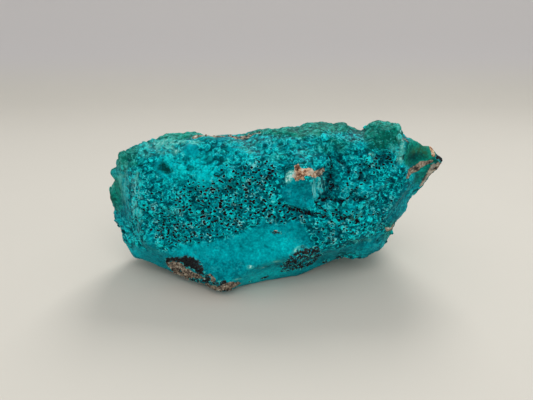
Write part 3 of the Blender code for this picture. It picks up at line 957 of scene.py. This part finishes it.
@dataclass
class SpecimenBlock:
    """The block's form, refined and marked."""

    node: str = "chrysocolla_specimen"
    weld_gap: float = 0.001
    flat_degrees: float = 60.0
    levels: int = 2
    warp_seed: int = 1
    warp_span: float = 3.0
    warp_reach: float = 0.9
    back_warp_span: float = 7.0
    back_warp_reach: float = 5.0
    back_start: float = 4.0
    top_green: float = 0.35
    lobe_spans: tuple[float, float] = (3.4, 1.6)
    lobe_rises: tuple[float, float] = (0.5, 0.4)
    crease_share: float = 0.25
    smoothed_share: float = 0.92
    tone_stretch: float = 7.3
    grain_span: float = 0.9
    grain_rise: float = 0.22
    crack_depth: float = 0.4
    single_rise: float = 0.8
    sink: float = 0.3
    rest_start: float = 0.05
    rest_fade: float = 1.5
    hollow_rounds: int = 14
    hollow_depth: float = 0.22
    # The apron's upper rim, by X and height, its right end, and how far it fades at each.
    apron_rim: tuple[tuple[float, float], ...] = (
        (-33, 9.5), (-26.5, 12), (-18, 15), (-10, 17), (-5, 19.8), (-2.5, 22),
        (1.5, 19.8), (7, 21), (8.5, 18), (11, 13.5), (18, 11),
    )
    apron_rim_fade: float = 0.9
    apron_end: float = 18.0
    apron_end_fade: float = 1.5

    def build(self, finish: bpy.types.Material) -> bpy.types.Object:
        """Makes the refined block and puts it in the place of the plain solid.

        Args:
            finish: The skin.

        Returns:
            The block.
        """
        block = self._refined()
        points, outward = survey(block.data)
        marks = self._marks(points, outward)
        for mark, cover in marks.items():
            store(block.data, mark.value, cover)
        rise, tone = self._relief(points, marks)
        points += outward * rise[:, None]
        points[:, 2] = np.maximum(points[:, 2], 0)
        block.data.vertices.foreach_set("co", (points * MM).ravel())
        block.data.update()
        store(block.data, Relief.DOME.value, np.full(len(points), FLANK))
        store(block.data, Relief.TONE.value, tone)
        store(block.data, Relief.HOLLOW.value, self._hollows(block.data, points, outward))
        block.data.materials.append(finish)
        block.data.shade_smooth()
        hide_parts(self.node)
        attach(block, BODY)
        return block

    def _refined(self) -> bpy.types.Object:
        """Welds a copy of the solid, pairs its triangles and subdivides it.

        Returns:
            The refined block.
        """
        flat = math.radians(self.flat_degrees)
        mesh = bmesh.new()
        mesh.from_mesh(bpy.data.objects[self.node].data)
        bmesh.ops.remove_doubles(mesh, verts=mesh.verts, dist=self.weld_gap * MM)
        bmesh.ops.join_triangles(
            mesh, faces=mesh.faces, angle_face_threshold=flat, angle_shape_threshold=flat
        )
        coarse = bpy.data.meshes.new("coarse_block")
        mesh.to_mesh(coarse)
        mesh.free()
        holder = place_object("coarse_block", coarse)
        rounding = holder.modifiers.new("rounding", "SUBSURF")
        rounding.levels = rounding.render_levels = self.levels
        return settle(holder, "crust_block")

    def _marks(self, points: np.ndarray, outward: np.ndarray) -> dict[Mark, np.ndarray]:
        """Lays every patch and seam on the surface, with ragged borders.

        Args:
            points: The block's points.
            outward: The outward direction at each point.

        Returns:
            The strength of each mark at each point.
        """
        noise.seed_set(self.warp_seed)
        bend = np.array([noise.noise_vector(Vector(p / self.warp_span)) for p in points])
        swing = np.array([noise.noise_vector(Vector(p / self.back_warp_span)) for p in points])
        behind = np.clip((points[:, 1] - self.back_start) / self.back_start, 0, 1)[:, None]
        ragged = points + bend * self.warp_reach + swing * behind * self.back_warp_reach
        marks = {mark: np.zeros(len(points)) for mark in Mark}
        for shape, table in ((Patch, PATCHES), (Seam, SEAMS)):
            for mark, rows in table.items():
                for row in rows:
                    marks[mark] = np.maximum(marks[mark], shape(*row).cover(ragged))
        marks[Mark.SMOOTH] = np.maximum(marks[Mark.SMOOTH], self._apron(ragged, outward))
        marks[Mark.PITTED] *= 1 - marks[Mark.SMOOTH]
        upward = np.clip(outward[:, 2] * 2 - 0.9, 0, 1)
        marks[Mark.GREEN] = np.maximum(marks[Mark.GREEN], self.top_green * upward)
        return marks

    def _apron(self, points: np.ndarray, outward: np.ndarray) -> np.ndarray:
        """Finds the smooth apron below the rough crust of the front.

        Args:
            points: The block's points, with the borders' raggedness in them.
            outward: The outward direction at each point.

        Returns:
            1 on the apron, fading to 0 around it.
        """
        rim_x, rim_z = np.array(self.apron_rim).T
        below = (np.interp(points[:, 0], rim_x, rim_z) - points[:, 2]) / self.apron_rim_fade
        before = (self.apron_end - points[:, 0]) / self.apron_end_fade
        facing = (-outward[:, 1] - 0.1) / 0.2
        return np.clip(np.minimum.reduce([below, before, facing]), 0, 1)

    def _relief(self, points: np.ndarray, marks: dict[Mark, np.ndarray]) -> tuple[np.ndarray, np.ndarray]:
        """Works out the lobes, grain, single knobs, hollows and cracks of the surface.

        Args:
            points: The block's points.
            marks: The marks on each point.

        Returns:
            How far each point is pushed out, and the tone of the small lobe it lies on.
        """
        rough = 1 - self.smoothed_share * marks[Mark.SMOOTH]
        rise = -self.sink * rough
        for span, height in zip(self.lobe_spans, self.lobe_rises):
            found = [noise.voronoi(Vector(p / span)) for p in points]
            first, second = np.array([distances[:2] for distances, _ in found]).T
            creases = np.clip((second - first) / self.crease_share, 0, 1)
            caps = (1 - np.clip(first, 0, 1) ** 2) * (0.5 + 0.5 * creases)
            rise += height * (caps - 0.5) * rough
        tone = np.array([noise.cell(near[0] * self.tone_stretch) for _, near in found])
        grain = np.array([noise.noise(Vector(p / self.grain_span)) for p in points])
        rise += self.grain_rise * grain * (0.25 + 0.75 * rough)
        rise += self.single_rise * (marks[Mark.SWOLLEN] - marks[Mark.SUNKEN])
        rise -= self.crack_depth * marks[Mark.CRACK]
        rise *= np.clip((points[:, 2] - self.rest_start) / self.rest_fade, 0, 1)
        return rise, np.abs(tone)

    def _hollows(self, mesh: bpy.types.Mesh, points: np.ndarray, outward: np.ndarray) -> np.ndarray:
        """Measures how far each point lies below its surroundings, for the shade that the crust's shader
        paints into hollows.

        Args:
            mesh: The block's mesh.
            points: Its points.
            outward: The outward direction at each point.

        Returns:
            0.5 on even ground, towards 1 in hollows and towards 0 on crests.
        """
        edges = np.empty(len(mesh.edges) * 2, dtype=np.int64)
        mesh.edges.foreach_get("vertices", edges)
        first, second = edges.reshape(-1, 2).T
        ends = np.concatenate([first, second])
        others = np.concatenate([second, first])
        valence = np.bincount(ends, minlength=len(points))[:, None]
        level = points.copy()
        for _ in range(self.hollow_rounds):
            sums = [np.bincount(ends, weights=level[others, k], minlength=len(points)) for k in range(3)]
            level = np.stack(sums, axis=1) / valence
        depth = ((level - points) * outward).sum(axis=1)
        return np.clip(0.5 + 0.5 * depth / self.hollow_depth, 0, 1)


class Form(Enum):
    """The forms that grow on the block."""

    BEAD = "bead"
    CUP = "cup"
    GRAIN = "grain"


@dataclass
class GrowthLayer:
    """One size class of globules or grains on the block.

    A form is made at unit size. Its sizes below are shares of its radius.
    """

    name: str
    pitch: float
    radius: tuple[float, float]
    seed: int
    rise: float = 0.62
    tilt: float = 0.0
    segments: int = 8
    rings: int = 6
    forms: tuple[Form, ...] = (Form.BEAD, Form.CUP)
    stretch: tuple[float, float] = (0.8, 1.25)
    turn: float = 6.28
    rough_span: float = 0.8
    rough_reach: float = 0.45
    foot_share: float = 0.5
    cup_rim: float = 0.6
    cup_depth: float = 0.95

    def _inputs(self) -> dict[str, float | int]:
        """Lists the numbers that the tree takes.

        Returns:
            The value of each input by its name, with lengths in metres.
        """
        least, most = self.radius
        sizes = {"Pitch": self.pitch * MM, "Least Radius": least * MM, "Most Radius": most * MM}
        return sizes | {"Rise": self.rise, "Tilt": self.tilt, "Seed": self.seed}

    def _tree(self, finish: bpy.types.Material) -> tuple[bpy.types.NodeTree, dict[str, str]]:
        """Writes the geometry tree that scatters the layer.

        Args:
            finish: The skin.

        Returns:
            The tree, and the identifier of each named input.
        """
        tree = bpy.data.node_groups.new(f"{self.name}_growth", "GeometryNodeTree")
        tree.interface.new_socket("Crust", in_out="INPUT", socket_type="NodeSocketGeometry")
        sockets = {}
        for label, value in self._inputs().items():
            kind = "NodeSocketInt" if isinstance(value, int) else "NodeSocketFloat"
            sockets[label] = tree.interface.new_socket(label, in_out="INPUT", socket_type=kind).identifier
        tree.interface.new_socket("Growth", in_out="OUTPUT", socket_type="NodeSocketGeometry")
        g = Nodes(tree)
        given = tree.nodes.new("NodeGroupInput")
        inputs = {s.name: Wire(g, s) for s in given.outputs if s.name}
        points, turned = self._points(g, inputs)
        stock = g.add("GeometryNodeJoinGeometry")
        for kind in [self._form(g, form) for form in self.forms]:
            tree.links.new(kind.socket, stock.socket.node.inputs[0])
        size = self._random(g, inputs["Least Radius"], inputs["Most Radius"], inputs["Seed"] + 2)
        stretch = self._random(g, *self.stretch, inputs["Seed"] + 3)
        scale = {"X": size, "Y": size * stretch, "Z": size * inputs["Rise"]}
        place = {
            "Points": points,
            "Instance": stock,
            "Pick Instance": True,
            "Instance Index": self._random(g, 0, len(self.forms) - 1, inputs["Seed"] + 4, "INT"),
            "Rotation": turned,
            "Scale": g.add("ShaderNodeCombineXYZ", {}, scale),
        }
        grown = g.add("GeometryNodeInstanceOnPoints", {}, place)
        spin = self._random(g, 0.0, self.turn, inputs["Seed"] + 5)
        lean = self._random(g, 0.0, inputs["Tilt"], inputs["Seed"] + 6)
        for angle in ({"Z": spin}, {"X": lean}):
            leaning = {"Instances": grown, "Rotation": g.add("ShaderNodeCombineXYZ", {}, angle)}
            grown = g.add("GeometryNodeRotateInstances", {}, leaning)
        grown = g.add("GeometryNodeRealizeInstances", {}, {"Geometry": grown})
        shifted = {"Geometry": grown, "Offset": g.drift(self.rough_span, self.rough_reach)}
        grown = g.add("GeometryNodeSetPosition", {}, shifted)
        grown = g.add("GeometryNodeSetMaterial", {}, {"Geometry": grown, "Material": finish})
        g.add("NodeGroupOutput", {}, {"Growth": grown})
        return tree, sockets

    def _points(self, g: Nodes, inputs: dict[str, Wire]) -> tuple[Wire, Wire]:
        """Scatters points over the crust, each with a tone of its own.

        Args:
            g: The tree's nodes.
            inputs: The tree's inputs.

        Returns:
            The points, and the turn that stands a form upright on each.
        """
        crowd = {"Name": f"{self.name}_crowd"}
        scatter = {
            "Mesh": inputs["Crust"],
            "Distance Min": inputs["Pitch"],
            "Density Max": 1 / (self.pitch * MM) ** 2 * 2,
            "Density Factor": g.add("GeometryNodeInputNamedAttribute", {}, crowd, "Attribute"),
            "Seed": inputs["Seed"],
        }
        points = g.add("GeometryNodeDistributePointsOnFaces", {"distribute_method": "POISSON"}, scatter)
        turned = Wire(g, points.socket.node.outputs["Rotation"])
        for relief in (Relief.DOME, Relief.TONE):
            points = g.add("GeometryNodeRemoveAttribute", {}, {"Geometry": points, "Name": relief.value})
        return self._stored(g, points, Relief.TONE, self._random(g, 0.0, 1.0, inputs["Seed"] + 1)), turned

    @staticmethod
    def _random(g: Nodes, low: object, high: object, seed: object, kind: str = "FLOAT") -> Wire:
        """Draws a number for each instance."""
        values = {"Min": low, "Max": high, "Seed": seed}
        return g.add("FunctionNodeRandomValue", {"data_type": kind}, values, "Value")

    @staticmethod
    def _stored(g: Nodes, body: Wire, relief: Relief, value: Term) -> Wire:
        """Stores a measure of the relief on a geometry."""
        values = {"Geometry": body, "Name": relief.value, "Value": value}
        return g.add("GeometryNodeStoreNamedAttribute", {"data_type": "FLOAT"}, values)

    def _form(self, g: Nodes, form: Form) -> Wire:
        """Makes one unit form, with its height stored on it.

        Args:
            g: The tree's nodes.
            form: The form.

        Returns:
            The form as an instance.
        """
        if form is Form.GRAIN:
            body = g.add("GeometryNodeMeshIcoSphere", {}, {"Radius": 1.0, "Subdivisions": 1}, "Mesh")
            return g.add("GeometryNodeGeometryToInstance", {}, {0: self._stored(g, body, Relief.DOME, FLANK)})
        ball = {"Segments": self.segments, "Rings": self.rings, "Radius": 1.0}
        body = g.add("GeometryNodeMeshUVSphere", {}, ball, "Mesh")
        height = g.add("ShaderNodeSeparateXYZ", {}, {0: g.add("GeometryNodeInputPosition")}, "Z")
        crown = height.at_least(0.0) * 1.2
        drop = height.at_most(0.0) * -self.foot_share
        if form is Form.CUP:
            crown = crown.at_most(0.2 + 0.8 * height)
            drop = drop - height.smooth(self.cup_rim, 1.0) * self.cup_depth
        else:
            crown = crown.at_most(0.6)
        body = self._stored(g, body, Relief.DOME, crown)
        shift = g.add("ShaderNodeCombineXYZ", {}, {"Z": drop})
        body = g.add("GeometryNodeSetPosition", {}, {"Geometry": body, "Offset": shift})
        body = g.add("GeometryNodeSetShadeSmooth", {}, {"Geometry": body})
        return g.add("GeometryNodeGeometryToInstance", {}, {0: body})

    def grow(self, block: bpy.types.Object, finish: bpy.types.Material) -> bpy.types.Object:
        """Grows the layer on the block.

        Args:
            block: The refined block, with its marks.
            finish: The skin.

        Returns:
            The whole layer as one plain mesh.
        """
        holder = place_object("growth", block.data.copy())
        growth = holder.modifiers.new("growth", "NODES")
        growth.node_group, sockets = self._tree(finish)
        for label, value in self._inputs().items():
            growth[sockets[label]] = value
        layer = settle(holder, self.name)
        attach(layer, BODY)
        return layer


@dataclass
class Growths:
    """All that grows on the block: globules on the crust and grains on the matrix."""

    layers: tuple[GrowthLayer, ...] = (
        GrowthLayer("lobes", 2.6, (0.8, 1.6), 11, rise=0.45, segments=12, rings=8, forms=(Form.BEAD,)),
        GrowthLayer("globules", 1.9, (0.45, 1.0), 23, rise=0.5, tilt=0.9),
        GrowthLayer("beads", 1.4, (0.22, 0.42), 37, rise=0.7, tilt=0.9, segments=6, rings=5),
        GrowthLayer("grains", 0.5, (0.2, 0.42), 53, rise=0.9, tilt=1.5, forms=(Form.GRAIN,)),
    )
    rest_gap: float = 1.6
    tip_start: float = 36.0
    wave_span: float = 6.0

    def build(self, block: bpy.types.Object, finish: bpy.types.Material) -> list[bpy.types.Object]:
        """Grows every layer.

        Args:
            block: The refined block, with its marks.
            finish: The skin.

        Returns:
            One object a layer.
        """
        for name, crowd in self._crowds(block.data).items():
            store(block.data, f"{name}_crowd", crowd)
        return [layer.grow(block, finish) for layer in self.layers]

    def _crowds(self, mesh: bpy.types.Mesh) -> dict[str, np.ndarray]:
        """Works out how thickly each layer grows at each point of the block.

        Args:
            mesh: The block's mesh, with its marks.

        Returns:
            From 0 to 1 at each point, for each layer's name.
        """
        points, outward = survey(mesh)
        marks = {}
        for mark in Mark:
            marks[mark] = np.empty(len(points), dtype=np.float32)
            mesh.attributes[mark.value].data.foreach_get("value", marks[mark])
        stone = np.maximum(marks[Mark.TAN], marks[Mark.DARK])
        bare = np.maximum.reduce([marks[Mark.SMOOTH], stone, marks[Mark.CRACK]])
        free = (points[:, 2] > self.rest_gap) * (points[:, 0] < self.tip_start)
        front = np.clip(0.55 - outward[:, 1] * 1.5, 0, 1)
        level = np.clip(2.6 - 3 * outward[:, 2], 0, 1) * np.clip(1.2 + 2 * outward[:, 2], 0, 1)
        waves = np.array([noise.noise(Vector(p / self.wave_span)) for p in points])
        full = np.maximum(marks[Mark.GREEN], marks[Mark.LOBED])
        open_crust = np.clip(1 - 1.6 * bare, 0, 1) * free
        small = open_crust * (1 - 0.6 * marks[Mark.LOBED]) * level
        return {
            "lobes": open_crust * level * np.clip(0.1 + 0.5 * waves + 0.9 * full, 0, 1) * 0.7,
            "globules": small * (0.25 + 0.75 * front),
            "beads": small * np.clip(0.2 + 0.8 * marks[Mark.PITTED] + waves, 0, 1) * front,
            "grains": np.clip((stone - 0.35) / 0.2, 0, 1) * free * (0.3 + 0.7 * front),
        }


@dataclass(frozen=True)
class Lamp:
    """A square lamp that looks at the specimen."""

    name: str
    place: Triple
    size: float
    watts: float


@dataclass
class Studio:
    """Floor, wall, lights and camera."""

    look_at: Triple = (0.5, -2.6, 18.0)
    distance: float = 172.8
    elevation: float = 25.0
    lens: float = 43.2
    sensor: float = 36.0
    nearest: float = 5.0
    shift: tuple[float, float] = (-0.0178, 0.0131)
    wall_gap: float = 150.0
    sweep_radius: float = 90.0
    wall_height: float = 180.0
    floor_front: float = 700.0
    floor_half_width: float = 1100.0
    sweep_steps: int = 16
    lamps: tuple[Lamp, ...] = (
        Lamp("back_lamp", (80.0, 400.0, 430.0), 260.0, 2.15),
        Lamp("front_lamp", (60.0, -420.0, 500.0), 500.0, 1.35),
    )
    room_colour: Colour = (0.93, 0.97, 1.0, 1.0)
    room_strength: float = 0.665

    def build(self) -> None:
        """Sets the whole scene."""
        self._board()
        self._lights()
        self._camera()
        bpy.context.scene.view_settings.view_transform = "Standard"

    def _board(self) -> None:
        """Bends one board from floor to wall."""
        profile = [(-self.floor_front, 0.0), (self.wall_gap, 0.0)]
        for step in range(1, self.sweep_steps + 1):
            angle = math.pi / 2 * step / self.sweep_steps
            reach = self.wall_gap + self.sweep_radius * math.sin(angle)
            profile.append((reach, self.sweep_radius * (1 - math.cos(angle))))
        profile.append((self.wall_gap + self.sweep_radius, self.wall_height))
        sides = (-self.floor_half_width, self.floor_half_width)
        points = [(x * MM, y * MM, z * MM) for x in sides for y, z in profile]
        count = len(profile)
        strips = [(k, count + k, count + k + 1, k + 1) for k in range(count - 1)]
        data = bpy.data.meshes.new("board")
        data.from_pydata(points, [], strips)
        data.shade_smooth()
        data.materials.append(BoardFinish().material())
        place_object("board", data)

    def _lights(self) -> None:
        """Hangs a small lamp behind and a broad one in front, and fills the room with pale light."""
        for lamp in self.lamps:
            light = bpy.data.lights.new(lamp.name, "AREA")
            light.size = lamp.size * MM
            light.energy = lamp.watts
            stand = place_object(lamp.name, light)
            stand.location = Vector(lamp.place) * MM
            away = (Vector(lamp.place) - Vector(self.look_at)) * MM
            stand.rotation_euler = away.to_track_quat("Z", "Y").to_euler()
        world = bpy.data.worlds.new("room")
        bpy.context.scene.world = world
        world.use_nodes = True
        background = world.node_tree.nodes["Background"]
        background.inputs["Color"].default_value = self.room_colour
        background.inputs["Strength"].default_value = self.room_strength

    def _camera(self) -> None:
        """Sets the camera."""
        tilt = math.radians(self.elevation)
        away = Vector((0.0, -math.cos(tilt), math.sin(tilt)))
        lens = bpy.data.cameras.new("camera")
        lens.lens = self.lens
        lens.sensor_width = self.sensor
        lens.shift_x, lens.shift_y = self.shift
        lens.clip_start = self.nearest * MM
        camera = place_object("camera", lens)
        camera.location = (Vector(self.look_at) + away * self.distance) * MM
        camera.rotation_euler = away.to_track_quat("Z", "Y").to_euler()
        bpy.context.scene.camera = camera


def main() -> None:
    """Builds the studio and the specimen, and reports each piece."""
    logging.basicConfig(level=logging.INFO, format="%(message)s")
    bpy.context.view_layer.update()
    Studio().build()
    finish = CrustFinish().material()
    block = SpecimenBlock().build(finish)
    for piece in [block, *Growths().build(block, finish)]:
        LOG.info("%s: %d faces", piece.name, len(piece.data.polygons))


if __name__ == "__main__":
    main()
